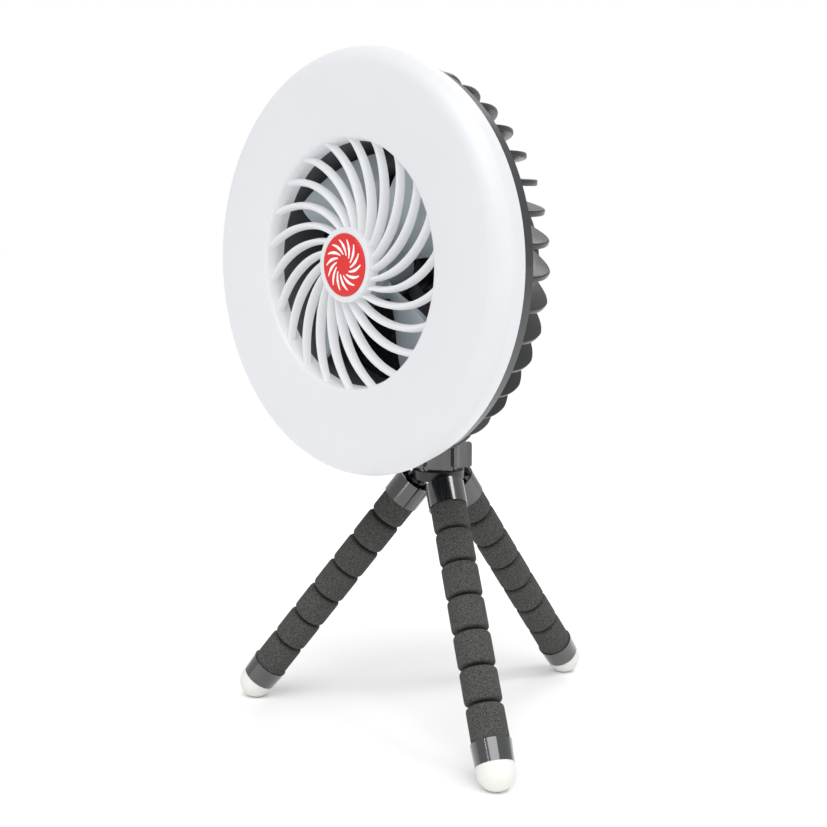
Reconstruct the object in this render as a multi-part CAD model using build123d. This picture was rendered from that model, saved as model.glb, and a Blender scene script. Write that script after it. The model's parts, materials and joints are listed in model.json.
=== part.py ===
from build123d import *
import math
import os

# Camping fan with a ring light, on a tripod with three bendable foam legs.
# Millimetres, +Z up. The fan blows towards -Y. The origin is on the ground, under the middle of the box.
# In the head's own frame, +Z is depth behind the border of disc and rim band, and -Y is up.

# Fits and cuts
OVERRUN = 1.0  # how far a cutting shape passes the face that it cuts
RUNNING_FIT = 0.08  # radial clearance of a shaft, ball or button in its hole
SLIP_FIT = 0.2  # clearance between pieces that are slipped together and stay still
MOVING_GAP = 0.3  # gap between pieces that turn past each other

# Stance
LEG_SPLAY = 38.0  # degrees between a leg and the upright
LEG_TURNS = {"left": -60.0, "right": 60.0, "rear": 180.0}  # degrees from straight ahead
LEG_GAP = 0.6  # half the gap between two leg tops, level with their balls
DISC_LIFT = 8.85  # the disc's lowest point, above the ball centres

# Front moulding: ring-light disc, funnel, spiral ribs and middle disc in one piece
DISC_RADIUS = 86.9
BORDER_INSET = 1.9  # the disc is this much smaller at its border with the band
DISC_WALL = 1.8
DISC_SKIRT = 7.5  # the skirt widens from the border to here
EDGE_WIDTH = 8.1  # rounded edge, across the face
EDGE_HEIGHT = 15.6  # rounded edge, in front of the border
CROWN_WIDTH = 9.8  # from the rounded edge to the top of the crown
CROWN_RISE = 0.6  # crown above the rounded edge
FACE_WIDTH = 16.5  # from the top of the crown to the funnel, which falls towards the grille
FACE_DROP = 0.6  # start of the funnel, below the rounded edge
FUNNEL_WIDTH = 1.0
FUNNEL_DROP = 0.8
LIP_WIDTH = 1.7  # lip between the funnel and the throat
LIP_DROP = 4.4
THROAT_END = 6.0  # the throat's wall ends here, in front of the border
RIB_COUNT = 22
RIB_THICKNESS = 5.5
RIB_SINK = 1.2  # the ribs reach this far into the middle disc
RIB_MIDDLE_SHARE = 0.643  # of the throat's radius
RIB_OVERLAP = 1.5  # the ribs reach this far past the funnel's edge
RIB_ROOT_TURN = 14.9  # degrees clockwise from the top, seen from the front
RIB_MIDDLE_TURN = -10.9
RIB_TIP_TURN = -35.1
RIB_ROOT_WIDTH = 2.2
RIB_MIDDLE_WIDTH = 2.6
RIB_TIP_WIDTH = 2.9
RIB_RISE = 0.1  # rib roots above the middle disc
RIB_SAG = 0.55  # rib fronts half way, below their ends
RIB_TIP_DROP = 0.1  # rib tips below the funnel's edge
MIDDLE_RADIUS = 15.2
MIDDLE_DROP = 0.5  # front of the middle disc, below the funnel's edge
MIDDLE_THICKNESS = 5.4
BADGE_RADIUS = 12.7
BADGE_THICKNESS = 0.9
BADGE_PROUD = 0.4

# Rear housing: rim band, bowl with radial fins, drum and neck in one piece
BAND_STEP = 0.5  # the band is this much smaller than the disc's border
BAND_DEPTH = 6.3
BAND_DRAFT = 1.2  # the band is this much smaller at its back edge
BAND_WALL = 3.3
HOUSING_WALL = 2.4
BOWL_STEP = 4.3  # from the back of the band in to the bowl's wall
DRUM_START = 28.8
DRUM_ROOM = 6.82  # beside the corners of the battery cell
FIN_COUNT = 42
FIN_THICKNESS = 2.2
FIN_FIRST_TURN = -6.5  # degrees from the fan's right-hand side, downwards
FIN_LEAN = 28.0  # degrees between a fin and the radius where it meets the bowl
FIN_STEP = 0.7  # fins start this far inside the back of the band
FIN_FALL = 4.6  # from there in to the shoulder
FIN_RUN = 13.7  # from the band back to the shoulder
FIN_BULGE = 3.0
SLOT_MARGIN = 11.0  # air inlets between the fins: from the drum to their inner ends
SLOT_INSET = 8.0  # from the bowl's edge in to their outer ends
SLOT_WIDTH = 3.0
NECK_RADIUS = 9.0
NECK_TOP_RADIUS = 11.0
POST_RADIUS = 3.4
POST_CIRCLE = 26.0  # cover screws, from the fan's axis
POST_COUNT = 4

# Duct, motor and impeller
SHELF_FRONT = 3.2  # front of the duct's flange, which carries the light's board
SHELF_THICKNESS = 1.7
DUCT_WALL = 1.8
DUCT_END = 16.0
STRUT_COUNT = 4
STRUT_WIDTH = 5.0
STRUT_DEPTH = 2.5
SEAT_RADIUS = 13.0
MOTOR_RADIUS = 11.5
MOTOR_BOSS_RADIUS = 4.0
SHAFT_RADIUS = 1.0
SHAFT_FRONT = -2.0
CUP_FRONT = -4.5
CUP_BACK = 11.0
CUP_RADIUS = 14.5
CUP_WALL = 2.0
CUP_BOSS_RADIUS = 3.5
BLADE_COUNT = 4
BLADE_FIRST_TURN = -34.0
BLADE_GAP = 3.3  # between the blades and the duct
BLADE_THICKNESS = 1.6
BLADE_DEPTH = 4.0  # middle of the blades
BLADE_SINK = 1.5  # the blades reach this far into the hub cup's wall
BLADE_SPAN_SHARES = (0.0, 0.376, 0.764, 1.07)  # sections, from root to tip
BLADE_CHORDS = (17.0, 30.0, 41.0, 38.0)
BLADE_PITCHES = (42.0, 31.0, 23.0, 20.0)  # degrees from the plane of rotation

# Light
BOARD_MARGIN = 2.2  # round the board, inside the band
BOARD_WIDTH = 23.0
BOARD_THICKNESS = 1.2
LAMP_COUNT = 24
LAMP_LENGTH = 3.5
LAMP_WIDTH = 2.8
LAMP_HEIGHT = 0.9

# Rear cover, controls and power
COVER_WALL = 2.2
COVER_HEIGHT = 6.5
COVER_EDGE = 4.5  # width of the cover's rounded edge
COVER_SKIRT = 1.5
COVER_LIP = 2.5
COVER_LIP_WALL = 2.0
SCREW_RADIUS = 1.2
SCREW_LENGTH = 12.0
SCREW_HEAD_RADIUS = 2.6
SCREW_HEAD_HEIGHT = 1.2
BUTTON_RADIUS = 5.0
BUTTON_PROUD = 1.5
BUTTON_EDGE = 0.5
BUTTON_FLANGE = 1.2
BUTTON_FLANGE_HEIGHT = 1.0
BUTTON_SPACING = 16.0
BUTTON_LIFT = 6.0
BUTTON_TRAVEL = 1.0
SWITCH_SIZE = 6.0
SWITCH_HEIGHT = 1.0
CONTROL_LENGTH = 52.0
CONTROL_MARGIN = 1.0  # between the board and the screw posts
CONTROL_LIFT = 4.6  # between the board and the battery cell
CONTROL_THICKNESS = 1.6
STANDOFF_RADIUS = 2.2
STANDOFF_INSET = 3.0  # from the ends of the board
SOCKET_LENGTH = 9.0
SOCKET_WIDTH = 3.4
SOCKET_WALL = 0.4
SOCKET_DROP = 15.0
CELL_RADIUS = 9.2
CELL_LENGTH = 65.0
CRADLE_SPACING = 40.0
CRADLE_WIDTH = 2.0
CRADLE_HEIGHT = 6.0

# Stud, lock nut and hub
STUD_RADIUS = 3.175
STUD_IN_HEAD = 8.0
STUD_IN_HUB = 3.0
INSERT_RADIUS = 5.0
INSERT_LENGTH = 9.0
NUT_RADIUS = 14.8
NUT_HEIGHT = 11.2
NUT_LOBES = 6
NUT_FIRST_TURN = 15.6
NUT_SCALLOP_RADIUS = 7.9
NUT_SCALLOP_CIRCLE = 17.3
NUT_CHAMFER = 0.8
HUB_RADIUS = 11.5
HUB_BOTTOM = 1.2  # above the ball centres
HUB_TOP = 6.2
HUB_CHAMFER = 0.6
BALL_RADIUS = 4.5

# Legs, measured along each leg from its ball centre
SLEEVE_WALL = 0.65  # of both ferrules, over the foam
FERRULE_LENGTH = 11.0
FERRULE_RECESS = 3.0
FERRULE_WALL = 1.2
FERRULE_FLOOR = 8.8  # the foam starts here, inside the ferrule
FOAM_RADIUS = 7.8
FOAM_FIT = 0.05
COLLAR_COUNT = 7
COLLAR_PITCH = 15.28
COLLAR_FIRST = 7.5  # the first collar's pitch starts here
GROOVE_DEPTH = 1.6
GROOVE_GAP = 1.4  # gap between collars
GROOVE_MOUTH = 3.8  # gap at the surface of the foam
WIRE_RADIUS = 2.0
WIRE_SEAT = 2.4  # length of wire held in each ferrule
TIP_SKIRT = 2.0  # the bottom ferrule covers the foam by this
TIP_WALL = 0.6  # between wire and foot
TIP_RIM = 0.15  # the ferrule's end stands round the foot by this
FOOT_RADIUS = 7.8
FOOT_STRAIGHT = 2.4
FOOT_SPIGOT_RADIUS = 5.0
FOOT_SPIGOT_LENGTH = 4.0
FOOT_CONTACT = 0.3  # depth of the flat worn on the dome where it stands

# Places that follow from the sizes
border_radius = DISC_RADIUS - BORDER_INSET
shoulder_radius = DISC_RADIUS - EDGE_WIDTH
crown_radius = shoulder_radius - CROWN_WIDTH
funnel_radius = crown_radius - FACE_WIDTH
throat_radius = funnel_radius - FUNNEL_WIDTH - LIP_WIDTH
collar_radius = throat_radius + DISC_WALL
crown_height = EDGE_HEIGHT + CROWN_RISE
funnel_height = EDGE_HEIGHT - FACE_DROP
lip_height = funnel_height - FUNNEL_DROP
middle_height = funnel_height - MIDDLE_DROP
rib_root_radius = MIDDLE_RADIUS - RIB_SINK
rib_middle_radius = RIB_MIDDLE_SHARE * throat_radius
rib_tip_radius = funnel_radius + RIB_OVERLAP
rib_root_height = middle_height + RIB_RISE
rib_tip_height = funnel_height - RIB_TIP_DROP
rib_middle_height = (rib_root_height + rib_tip_height) / 2 - RIB_SAG

band_radius = border_radius - BAND_STEP
band_back_radius = band_radius - BAND_DRAFT
band_bore = band_radius - BAND_WALL
bowl_radius = band_back_radius - BOWL_STEP
fin_root_radius = band_back_radius - FIN_STEP
fin_shoulder_radius = fin_root_radius - FIN_FALL
fin_shoulder_depth = BAND_DEPTH + FIN_RUN
drum_bore = math.hypot(CELL_LENGTH / 2, CELL_RADIUS) + DRUM_ROOM
drum_radius = drum_bore + HOUSING_WALL
bulkhead_front = DRUM_START - HOUSING_WALL
post_turn = 180 / POST_COUNT
shelf_back = SHELF_FRONT + SHELF_THICKNESS
blade_tip_radius = throat_radius - BLADE_GAP
board_outer_radius = band_bore - BOARD_MARGIN
board_inner_radius = board_outer_radius - BOARD_WIDTH

cell_depth = DRUM_START + CELL_RADIUS + SLIP_FIT
control_front = cell_depth + CELL_RADIUS + SLIP_FIT + CONTROL_LIFT
control_back = control_front + CONTROL_THICKNESS
switch_back = control_back + SWITCH_HEIGHT
flange_back = switch_back + SLIP_FIT + BUTTON_TRAVEL + BUTTON_FLANGE_HEIGHT
cover_inside = flange_back + MOVING_GAP
cover_face = cover_inside + COVER_WALL
drum_end = cover_face - COVER_HEIGHT
cover_flat_radius = drum_radius - COVER_EDGE
button_back = cover_face + BUTTON_PROUD
control_width = 2 * (POST_CIRCLE * math.cos(math.radians(post_turn)) - POST_RADIUS - CONTROL_MARGIN)

tip_radius = FOAM_RADIUS + SLEEVE_WALL
ferrule_radius = tip_radius + FOAM_FIT
hip_radius = (ferrule_radius + LEG_GAP) / math.sin(math.radians(180 / len(LEG_TURNS)))
splay_sin = math.sin(math.radians(LEG_SPLAY))
splay_cos = math.cos(math.radians(LEG_SPLAY))
tip_start = COLLAR_FIRST + COLLAR_COUNT * COLLAR_PITCH
tip_end = tip_start + TIP_SKIRT + WIRE_SEAT + TIP_WALL + FOOT_SPIGOT_LENGTH
dome_at = tip_end + FOOT_STRAIGHT
hip_z = FOOT_RADIUS - FOOT_CONTACT + dome_at * splay_cos
foot_reach = hip_radius + dome_at * splay_sin + FOOT_RADIUS
axis_z = hip_z + DISC_LIFT + DISC_RADIUS
stud_depth = DRUM_START + NECK_TOP_RADIUS
stud_y = (stud_depth + crown_height - foot_reach) / 2
border_y = stud_y - stud_depth
nut_bottom = hip_z + HUB_TOP + MOVING_GAP
neck_bottom = nut_bottom + NUT_HEIGHT + MOVING_GAP
bore_radius = WIRE_RADIUS + MOVING_GAP
head_place = Pos(0, border_y, axis_z) * Rot(-90, 0, 0)
stud_place = Pos(0, stud_y, 0)

pieces = {}


def turned(*edges):
    """Solid of revolution about Z, from edges given as (radius, height)."""
    return revolve(Plane.XZ * make_face(list(edges)), Axis.Z)


def turned_polygon(*points):
    """Solid of revolution about Z, from the corners of its section."""
    return turned(Polyline(*points, close=True))


def drum(radius, start, end):
    """Plain cylinder about Z between two heights."""
    return Pos(0, 0, start) * Cylinder(radius, end - start, align=(Align.CENTER, Align.CENTER, Align.MIN))


def ring(outer, inner, start, end):
    """Plain tube about Z between two heights."""
    return drum(outer, start, end) - drum(inner, start - OVERRUN, end + OVERRUN)


def block(length, width, start, end):
    """Box about Z between two heights."""
    return Pos(0, 0, start) * Box(length, width, end - start, align=(Align.CENTER, Align.CENTER, Align.MIN))


def around(count, first=0.0):
    """Even turns about Z."""
    return [Rot(0, 0, first + step * 360 / count) for step in range(count)]


def on_face(radius, turn):
    """Point of the head's face at a turn clockwise from the top, seen from the front."""
    return (radius * math.sin(math.radians(turn)), -radius * math.cos(math.radians(turn)))


def disc_outside():
    """Section of the front moulding's ring, with its collar round the throat."""
    rim = (border_radius, 0)
    skirt = (DISC_RADIUS, -DISC_SKIRT)
    shoulder = (shoulder_radius, -EDGE_HEIGHT)
    funnel = (funnel_radius, -funnel_height)
    lip_top = (throat_radius + LIP_WIDTH, -lip_height)
    lip_end = (throat_radius, LIP_DROP - lip_height)
    return turned(
        Line(rim, skirt),
        TangentArc(skirt, shoulder, tangent=(0, -1)),
        ThreePointArc(shoulder, (crown_radius, -crown_height), funnel),
        Polyline(funnel, lip_top, lip_end, (throat_radius, -THROAT_END), (collar_radius, -THROAT_END)),
        Polyline((collar_radius, -THROAT_END), (collar_radius, 0), rim),
    )


def disc_pocket():
    """Hollow behind the ring's face, one wall inside it."""
    edge = border_radius - DISC_WALL
    widest = DISC_RADIUS - DISC_WALL
    return turned_polygon(
        (edge, OVERRUN),
        (edge, 0),
        (widest, -DISC_SKIRT),
        (shoulder_radius, DISC_WALL - EDGE_HEIGHT),
        (crown_radius, DISC_WALL - crown_height),
        (funnel_radius, DISC_WALL - funnel_height),
        (collar_radius, DISC_WALL + LIP_DROP - lip_height),
        (collar_radius, OVERRUN),
    )


def rib_face():
    """Plan of one swept rib, between two arcs."""
    radii = (rib_root_radius, rib_middle_radius, rib_tip_radius)
    turns = (RIB_ROOT_TURN, RIB_MIDDLE_TURN, RIB_TIP_TURN)
    widths = (RIB_ROOT_WIDTH, RIB_MIDDLE_WIDTH, RIB_TIP_WIDTH)
    sides = []
    for side in (-1, 1):
        swing = [math.degrees(side * width / 2 / radius) for radius, width in zip(radii, widths)]
        sides.append([on_face(radius, turn + add) for radius, turn, add in zip(radii, turns, swing)])
    near, far = sides
    edges = [ThreePointArc(*near), Line(near[-1], far[-1]), ThreePointArc(*far), Line(far[0], near[0])]
    return make_face(edges)


def rib_envelope():
    """Slice that gives the ribs their front and back, and buries their tips in the wall of the funnel."""
    root = rib_root_radius - OVERRUN
    return turned_polygon(
        (root, -rib_root_height),
        (rib_middle_radius, -rib_middle_height),
        (rib_tip_radius, -rib_tip_height),
        (rib_tip_radius, DISC_WALL / 2 - rib_tip_height),
        (throat_radius + DISC_WALL, RIB_THICKNESS - rib_tip_height),
        (root, RIB_THICKNESS - rib_root_height),
    )


def front_moulding():
    """Ring-light disc with its funnel, its spiral of ribs and the disc in the middle."""
    disc = disc_outside() - disc_pocket()
    tall = Pos(0, 0, -crown_height) * extrude(rib_face(), crown_height + SHELF_FRONT)
    rib = tall & rib_envelope()
    middle = drum(MIDDLE_RADIUS, -middle_height, MIDDLE_THICKNESS - middle_height)
    ribs = [turn * rib for turn in around(RIB_COUNT)]
    seat_back = BADGE_THICKNESS - middle_height - BADGE_PROUD
    seat = drum(BADGE_RADIUS + SLIP_FIT, -crown_height, seat_back)
    return (disc + ribs + middle) - seat


def badge():
    front = -middle_height - BADGE_PROUD
    return drum(BADGE_RADIUS, front, front + BADGE_THICKNESS)


def fin():
    """One fin: a thin leaning plate with a rounded shoulder, which runs out on the bowl."""
    front = BAND_DEPTH - HOUSING_WALL
    root = (fin_root_radius, front)
    shoulder = (fin_shoulder_radius, fin_shoulder_depth)
    tail = (drum_radius, bulkhead_front)
    middle = (
        (fin_shoulder_radius + drum_radius) / 2 + FIN_BULGE,
        (fin_shoulder_depth + bulkhead_front) / 2 + FIN_BULGE,
    )
    edges = [
        TangentArc(root, shoulder, tangent=(0, 1)),
        ThreePointArc(shoulder, middle, tail),
        Polyline(tail, (drum_radius, front), root),
    ]
    return extrude(Plane.XZ * make_face(edges), FIN_THICKNESS / 2, both=True)


def leaning():
    """Places of the fins' planes: turned about the edge of the bowl."""
    return Pos(bowl_radius, 0, 0) * Rot(0, 0, FIN_LEAN) * Pos(-bowl_radius, 0, 0)


def bowl_line(inset):
    """Ends of the bowl's wall at the band and at the drum, moved inwards by a wall."""
    top = (bowl_radius - inset, BAND_DEPTH)
    end = (drum_radius - inset, DRUM_START - inset)
    return top, end


def rear_housing():
    """Rim band, finned bowl with air inlets, drum with bulkhead, screw posts and cell cradle, and neck."""
    band_back = (band_back_radius, BAND_DEPTH)
    body = turned_polygon(
        (0, 0), (band_radius, 0), band_back, *bowl_line(0), (drum_radius, drum_end), (0, drum_end)
    )
    neck_height = axis_z - drum_bore - neck_bottom
    neck = Pos(0, axis_z - neck_bottom, stud_depth) * Rot(90, 0, 0) * Cone(
        NECK_RADIUS, NECK_TOP_RADIUS, neck_height, align=(Align.CENTER, Align.CENTER, Align.MIN)
    )
    leaning_fin = leaning() * fin()
    body = body + neck + [turn * leaning_fin for turn in around(FIN_COUNT, FIN_FIRST_TURN)]

    inner_top, inner_end = bowl_line(HOUSING_WALL)
    front_space = turned_polygon(
        (0, -OVERRUN),
        (band_bore, -OVERRUN),
        (band_bore, shelf_back),
        (inner_top[0], shelf_back),
        inner_top,
        inner_end,
        (0, inner_end[1]),
    )
    body = body - front_space - drum(drum_bore, DRUM_START, drum_end + OVERRUN)

    slot_start = drum_radius + SLOT_MARGIN
    slot_end = bowl_radius - SLOT_INSET
    slot = block(slot_end - slot_start, SLOT_WIDTH, shelf_back, DRUM_START)
    slot = leaning() * Pos((slot_start + slot_end) / 2, 0, 0) * slot
    half_pitch = 180 / FIN_COUNT
    body = body - [turn * slot for turn in around(FIN_COUNT, FIN_FIRST_TURN + half_pitch)]

    post = Pos(POST_CIRCLE, 0, 0) * (
        drum(POST_RADIUS, DRUM_START - HOUSING_WALL / 2, cover_inside)
        - drum(SCREW_RADIUS, cover_face - SCREW_LENGTH - OVERRUN, cover_face)
    )
    cradle = block(CRADLE_WIDTH, 2 * CELL_RADIUS, DRUM_START - HOUSING_WALL / 2, DRUM_START + CRADLE_HEIGHT)
    cradles = [Pos(side * CRADLE_SPACING / 2, 0, 0) * cradle for side in (-1, 1)]
    body = body + [turn * post for turn in around(POST_COUNT, post_turn)] + cradles

    cell_space = Pos(0, 0, cell_depth) * Rot(0, 90, 0) * Cylinder(CELL_RADIUS + SLIP_FIT, CELL_LENGTH)
    insert_space = Pos(0, axis_z - neck_bottom + OVERRUN, stud_depth) * Rot(90, 0, 0) * drum(
        INSERT_RADIUS, 0, INSERT_LENGTH + OVERRUN
    )
    return body - cell_space - insert_space


def fan_duct():
    """Flange that carries the light's board, duct round the impeller, and struts with the motor's seat."""
    flange_edge = band_bore - SLIP_FIT
    seat_front = DUCT_END - STRUT_DEPTH
    duct = ring(flange_edge, throat_radius, SHELF_FRONT, shelf_back)
    duct = duct + ring(throat_radius + DUCT_WALL, throat_radius, -THROAT_END, DUCT_END)
    strut = Pos((throat_radius + DUCT_WALL / 2) / 2, 0, 0) * block(
        throat_radius + DUCT_WALL / 2, STRUT_WIDTH, seat_front, DUCT_END
    )
    struts = [turn * strut for turn in around(STRUT_COUNT, 180 / STRUT_COUNT)]
    duct = duct + struts + drum(SEAT_RADIUS, seat_front, DUCT_END)
    return duct - drum(MOTOR_BOSS_RADIUS + SLIP_FIT, 0, DUCT_END + OVERRUN)


def motor():
    """Flat can on the back of its seat, with a bearing boss through the seat."""
    can = drum(MOTOR_RADIUS, DUCT_END, bulkhead_front - MOVING_GAP)
    can = can + drum(MOTOR_BOSS_RADIUS, DUCT_END - STRUT_DEPTH, DUCT_END)
    return can - drum(SHAFT_RADIUS + RUNNING_FIT, 0, bulkhead_front - HOUSING_WALL)


def motor_shaft():
    return drum(SHAFT_RADIUS, SHAFT_FRONT, bulkhead_front - HOUSING_WALL - MOVING_GAP)


def blade():
    """One broad twisted blade, cut to the tip circle."""
    sections = []
    root = CUP_RADIUS - BLADE_SINK
    span = blade_tip_radius - root
    for share, chord, pitch in zip(BLADE_SPAN_SHARES, BLADE_CHORDS, BLADE_PITCHES):
        plane = Plane((root + share * span, 0, BLADE_DEPTH), x_dir=(0, 1, 0), z_dir=(1, 0, 0))
        sections.append(plane * Rot(0, 0, pitch) * Rectangle(chord, BLADE_THICKNESS))
    return loft(sections) & drum(blade_tip_radius, -crown_height, DUCT_END)


def impeller():
    """Hub cup on the motor shaft, with its blades."""
    cup = drum(CUP_RADIUS, CUP_FRONT, CUP_BACK)
    blades = [turn * blade() for turn in around(BLADE_COUNT, BLADE_FIRST_TURN)]
    hollow = drum(CUP_RADIUS - CUP_WALL, CUP_FRONT + CUP_WALL, CUP_BACK + OVERRUN)
    boss = drum(CUP_BOSS_RADIUS, CUP_FRONT, CUP_BACK)
    return (cup + blades) - hollow + boss - drum(SHAFT_RADIUS, SHAFT_FRONT, CUP_BACK + OVERRUN)


def light_board():
    return ring(board_outer_radius, board_inner_radius, SHELF_FRONT - BOARD_THICKNESS, SHELF_FRONT)


def lamps():
    board_front = SHELF_FRONT - BOARD_THICKNESS
    lamp_circle = (board_inner_radius + board_outer_radius) / 2
    lamp = Pos(lamp_circle, 0, 0) * block(LAMP_WIDTH, LAMP_LENGTH, board_front - LAMP_HEIGHT, board_front)
    return Compound(children=[turn * lamp for turn in around(LAMP_COUNT)])


def button_places():
    return [Pos(0, side * BUTTON_SPACING / 2 - BUTTON_LIFT, 0) for side in (-1, 1)]


def rear_cover():
    """Dished cover that closes the drum, with its screw holes, button holes and socket slot."""
    edge = (drum_radius, drum_end + COVER_SKIRT)
    flat = (cover_flat_radius, cover_face)
    dish = turned(
        Polyline((0, drum_end), (drum_radius, drum_end), edge),
        TangentArc(edge, flat, tangent=(0, 1)),
        Polyline(flat, (0, cover_face), (0, drum_end)),
    )
    hollow = turned_polygon(
        (0, drum_end - OVERRUN),
        (drum_radius - COVER_WALL, drum_end - OVERRUN),
        (drum_radius - COVER_WALL, drum_end + COVER_SKIRT),
        (cover_flat_radius - COVER_WALL, cover_inside),
        (0, cover_inside),
    )
    lip_radius = drum_bore - SLIP_FIT
    lip_inside = lip_radius - COVER_LIP_WALL
    skirt_end = drum_end + COVER_SKIRT
    cover = dish - hollow
    cover = cover + ring(lip_radius, lip_inside, drum_end - COVER_LIP, skirt_end)
    cover = cover + ring(drum_radius - COVER_WALL / 2, lip_inside, drum_end, skirt_end)
    standoff = drum(STANDOFF_RADIUS, control_back, cover_inside + COVER_WALL / 2)
    cover = cover + [Pos(0, side * (CONTROL_LENGTH / 2 - STANDOFF_INSET), 0) * standoff for side in (-1, 1)]
    screw_hole = drum(SCREW_RADIUS + SLIP_FIT, drum_end, cover_face)
    head_hole = drum(SCREW_HEAD_RADIUS + SLIP_FIT, cover_face - SCREW_HEAD_HEIGHT, cover_face + OVERRUN)
    stepped_hole = Pos(POST_CIRCLE, 0, 0) * (screw_hole + head_hole)
    holes = [turn * stepped_hole for turn in around(POST_COUNT, post_turn)]
    button_hole = drum(BUTTON_RADIUS + RUNNING_FIT, drum_end, cover_face + OVERRUN)
    holes += [place * button_hole for place in button_places()]
    slot = block(SOCKET_LENGTH + SLIP_FIT, SOCKET_WIDTH + SLIP_FIT, drum_end, cover_face + OVERRUN)
    return cover - holes - Pos(0, SOCKET_DROP, 0) * slot


def cover_screws():
    head = drum(SCREW_HEAD_RADIUS, cover_face - SCREW_HEAD_HEIGHT, cover_face)
    shank = drum(SCREW_RADIUS, cover_face - SCREW_LENGTH, cover_face)
    screw = Pos(POST_CIRCLE, 0, 0) * (head + shank)
    return Compound(children=[turn * screw for turn in around(POST_COUNT, post_turn)])


def button():
    """Round push button, held in by a flange behind the cover."""
    cap = drum(BUTTON_RADIUS, flange_back - BUTTON_FLANGE_HEIGHT, button_back)
    flange = drum(BUTTON_RADIUS + BUTTON_FLANGE, flange_back - BUTTON_FLANGE_HEIGHT, flange_back)
    return chamfer(cap.faces().sort_by(Axis.Z)[-1].edges(), BUTTON_EDGE) + flange


def control_board():
    """Circuit board with a switch under each button."""
    board = block(control_width, CONTROL_LENGTH, control_front, control_back)
    switch = block(SWITCH_SIZE, SWITCH_SIZE, control_back, switch_back)
    return board + [place * switch for place in button_places()]


def charging_socket():
    shell = block(SOCKET_LENGTH, SOCKET_WIDTH, control_back, cover_face)
    space = block(
        SOCKET_LENGTH - 2 * SOCKET_WALL, SOCKET_WIDTH - 2 * SOCKET_WALL, cover_inside, cover_face + OVERRUN
    )
    return Pos(0, SOCKET_DROP, 0) * (shell - space)


def battery_cell():
    return Pos(0, 0, cell_depth) * Rot(0, 90, 0) * Cylinder(CELL_RADIUS, CELL_LENGTH)


def lock_nut():
    """Star-shaped nut with hollowed flanks, which turns on the stud under the head."""
    nut = drum(NUT_RADIUS, nut_bottom, nut_bottom + NUT_HEIGHT)
    nut = chamfer(nut.edges().filter_by(GeomType.CIRCLE), NUT_CHAMFER)
    scallop = Pos(0, -NUT_SCALLOP_CIRCLE, 0) * drum(
        NUT_SCALLOP_RADIUS, nut_bottom - OVERRUN, nut_bottom + NUT_HEIGHT + OVERRUN
    )
    half_pitch = 180 / NUT_LOBES
    nut = nut - [turn * scallop for turn in around(NUT_LOBES, NUT_FIRST_TURN + half_pitch)]
    return nut - drum(STUD_RADIUS + RUNNING_FIT, nut_bottom - OVERRUN, nut_bottom + NUT_HEIGHT + OVERRUN)


def tripod_hub():
    """Small round hub with a ball stub for each leg."""
    top = hip_z + HUB_TOP
    hub = drum(HUB_RADIUS, hip_z + HUB_BOTTOM, top)
    hub = chamfer(hub.edges().filter_by(GeomType.CIRCLE), HUB_CHAMFER)
    ball = Pos(0, -hip_radius, hip_z) * Sphere(BALL_RADIUS)
    hub = hub + [Rot(0, 0, turn) * ball for turn in LEG_TURNS.values()]
    return hub - drum(STUD_RADIUS, top - STUD_IN_HUB, top + OVERRUN)


def stud():
    return drum(STUD_RADIUS, hip_z + HUB_TOP - STUD_IN_HUB, neck_bottom + STUD_IN_HEAD)


def threaded_insert():
    return ring(INSERT_RADIUS, STUD_RADIUS + RUNNING_FIT, neck_bottom, neck_bottom + INSERT_LENGTH)


def top_ferrule():
    """Leg top: an open cup with a socket for the hub's ball, and a skirt over the foam."""
    shell = drum(ferrule_radius, 0, FERRULE_LENGTH)
    recess = drum(ferrule_radius - FERRULE_WALL, -OVERRUN, FERRULE_RECESS)
    foam_space = drum(FOAM_RADIUS + FOAM_FIT, FERRULE_FLOOR, FERRULE_LENGTH + OVERRUN)
    wire_space = drum(WIRE_RADIUS + FOAM_FIT, FERRULE_FLOOR - WIRE_SEAT, FERRULE_FLOOR + OVERRUN)
    return shell - recess - Sphere(BALL_RADIUS + RUNNING_FIT) - foam_space - wire_space


def collar(number):
    """One foam collar on the core wire, with eased ends where it borders a groove."""
    start = COLLAR_FIRST + (number - 1) * COLLAR_PITCH
    end = start + COLLAR_PITCH
    groove = [
        (bore_radius, GROOVE_GAP / 2),
        (FOAM_RADIUS - GROOVE_DEPTH, GROOVE_GAP / 2),
        (FOAM_RADIUS, GROOVE_MOUTH / 2),
    ]
    top = [(radius, start + gap) for radius, gap in groove]
    bottom = [(radius, end - gap) for radius, gap in groove]
    if number == 1:
        top = [(bore_radius, FERRULE_FLOOR), (FOAM_RADIUS, FERRULE_FLOOR)]
    if number == COLLAR_COUNT:
        bottom = [(bore_radius, end + TIP_SKIRT), (FOAM_RADIUS, end + TIP_SKIRT)]
    return turned_polygon(*top, *reversed(bottom))


def core_wire():
    return drum(WIRE_RADIUS, FERRULE_FLOOR - WIRE_SEAT, tip_start + TIP_SKIRT + WIRE_SEAT)


def bottom_ferrule():
    """Leg end: a tapered sleeve over the foam, with a socket for the foot."""
    rim = (FOOT_RADIUS + TIP_RIM, tip_end)
    shell = turned_polygon((0, tip_start), (tip_radius, tip_start), rim, (0, tip_end))
    foam_space = drum(FOAM_RADIUS + FOAM_FIT, tip_start - OVERRUN, tip_start + TIP_SKIRT)
    wire_space = drum(WIRE_RADIUS + FOAM_FIT, tip_start, tip_start + TIP_SKIRT + WIRE_SEAT)
    spigot_end = tip_end - FOOT_SPIGOT_LENGTH - FOAM_FIT
    foot_space = drum(FOOT_SPIGOT_RADIUS + FOAM_FIT, spigot_end, tip_end + OVERRUN)
    return shell - foam_space - wire_space - foot_space


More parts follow.
